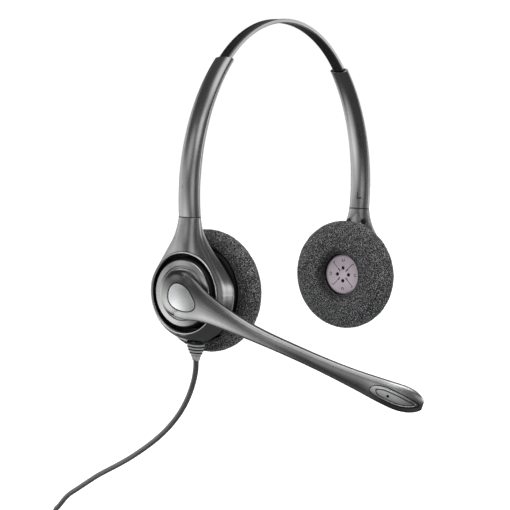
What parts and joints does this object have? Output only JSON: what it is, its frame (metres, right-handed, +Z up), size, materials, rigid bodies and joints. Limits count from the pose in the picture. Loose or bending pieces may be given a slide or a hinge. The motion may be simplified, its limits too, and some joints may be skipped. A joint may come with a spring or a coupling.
{
  "type": "corded binaural office headset",
  "caption": "Corded two-ear office headset: thin spring headband, sliding satin arms, swivelling ring yokes, foam ear cushions, rotating boom microphone and a cable with a plug.",
  "frame": {"origin": "centre of the headband's inner face at the crown, where it rests on the head", "axes": "+Z up, away from the head; the wearer faces -Y; +X is the wearer's left"},
  "size_m": [0.1625, 0.2435, 0.2873],
  "materials": {
    "badge_silver": "semi-gloss silver",
    "black_plastic": "fine matte",
    "cable_pvc": "satin",
    "contact_metal": "polished",
    "copper": "wire",
    "felt": "felt",
    "foam": "open-cell foam",
    "gloss_black": "gloss",
    "grille_plastic": "satin",
    "paper_cone": "satin film",
    "rubber": "matte",
    "shell_metallic": "satin gunmetal paint on moulded plastic",
    "spring_steel": "brushed",
    "trim_silver": "satin light silver paint"
  },
  "bodies": {
    "headband": {"headband_channel": "shell_metallic", "headband_inlay": "gloss_black", "headband_liner": "black_plastic", "headband_spring": "spring_steel", "crossover_flex": "copper", "slider_tip_left": "black_plastic", "slider_tip_right": "black_plastic"},
    "arm_left": {"arm_cover_outer_left": "shell_metallic", "arm_cover_inner_left": "shell_metallic", "detent_spring_left": "spring_steel", "side_letter_left": "black_plastic"},
    "yoke_left": {"yoke_shell_outer_left": "shell_metallic", "yoke_shell_inner_left": "shell_metallic", "yoke_screws_left": "spring_steel", "swivel_pin_left": "spring_steel", "tilt_pins_left": "spring_steel"},
    "capsule_left": {"speaker_cup_left": "black_plastic", "trim_disc_left": "trim_silver", "speaker_front_left": "grille_plastic", "grille_felt_left": "felt", "driver_basket_left": "black_plastic", "driver_magnet_left": "spring_steel", "diaphragm_left": "paper_cone", "ear_cushion_left": "foam", "blank_cap_left": "shell_metallic", "cap_badge_left": "badge_silver"},
    "arm_right": {"arm_cover_outer_right": "shell_metallic", "arm_cover_inner_right": "shell_metallic", "detent_spring_right": "spring_steel", "side_letter_right": "black_plastic"},
    "yoke_right": {"yoke_shell_outer_right": "shell_metallic", "yoke_shell_inner_right": "shell_metallic", "yoke_screws_right": "spring_steel", "swivel_pin_right": "spring_steel", "tilt_pins_right": "spring_steel", "strain_relief": "rubber", "cable": "cable_pvc", "plug_boot": "rubber", "plug_grip": "black_plastic", "plug_contacts": "contact_metal", "plug_insulators": "black_plastic", "plug_tip": "contact_metal"},
    "capsule_right": {"speaker_cup_right": "black_plastic", "trim_disc_right": "trim_silver", "speaker_front_right": "grille_plastic", "grille_felt_right": "felt", "driver_basket_right": "black_plastic", "driver_magnet_right": "spring_steel", "diaphragm_right": "paper_cone", "ear_cushion_right": "foam"},
    "boom": {"boom_shell_outer": "shell_metallic", "boom_shell_inner": "shell_metallic", "boom_badge": "badge_silver", "mic_plate": "trim_silver", "mic_capsule": "black_plastic", "mic_gasket": "rubber", "boom_wire": "copper", "pivot_washer": "spring_steel", "pivot_wave_washer": "spring_steel", "pivot_screw": "spring_steel"}
  },
  "joints": [
    {"name": "extend_left", "type": "hinge", "parent": "headband", "child": "arm_left", "pos_m": [-0.01276, 0, -0.07874], "axis": [0, 1, 0], "range_deg": [0, 15]},
    {"name": "swivel_left", "type": "hinge", "parent": "arm_left", "child": "yoke_left", "pos_m": [0.0717, 0, -0.08948], "axis": [-0.1262, 0, -0.992], "range_deg": [-12, 12]},
    {"name": "tilt_left", "type": "hinge", "parent": "yoke_left", "child": "capsule_left", "pos_m": [0.071, 0, -0.12279], "axis": [0, 1, 0], "range_deg": [-5, 5]},
    {"name": "extend_right", "type": "hinge", "parent": "headband", "child": "arm_right", "pos_m": [0.01276, 0, -0.07874], "axis": [0, -1, 0], "range_deg": [0, 15]},
    {"name": "swivel_right", "type": "hinge", "parent": "arm_right", "child": "yoke_right", "pos_m": [-0.0717, 0, -0.08948], "axis": [0.1262, 0, -0.992], "range_deg": [-12, 12]},
    {"name": "tilt_right", "type": "hinge", "parent": "yoke_right", "child": "capsule_right", "pos_m": [-0.071, 0, -0.12279], "axis": [0, 1, 0], "range_deg": [-5, 5]},
    {"name": "boom_rotation", "type": "hinge", "parent": "capsule_right", "child": "boom", "pos_m": [-0.078, 0, -0.12279], "axis": [-1, 0, 0], "range_deg": [-200, 80]}
  ]
}
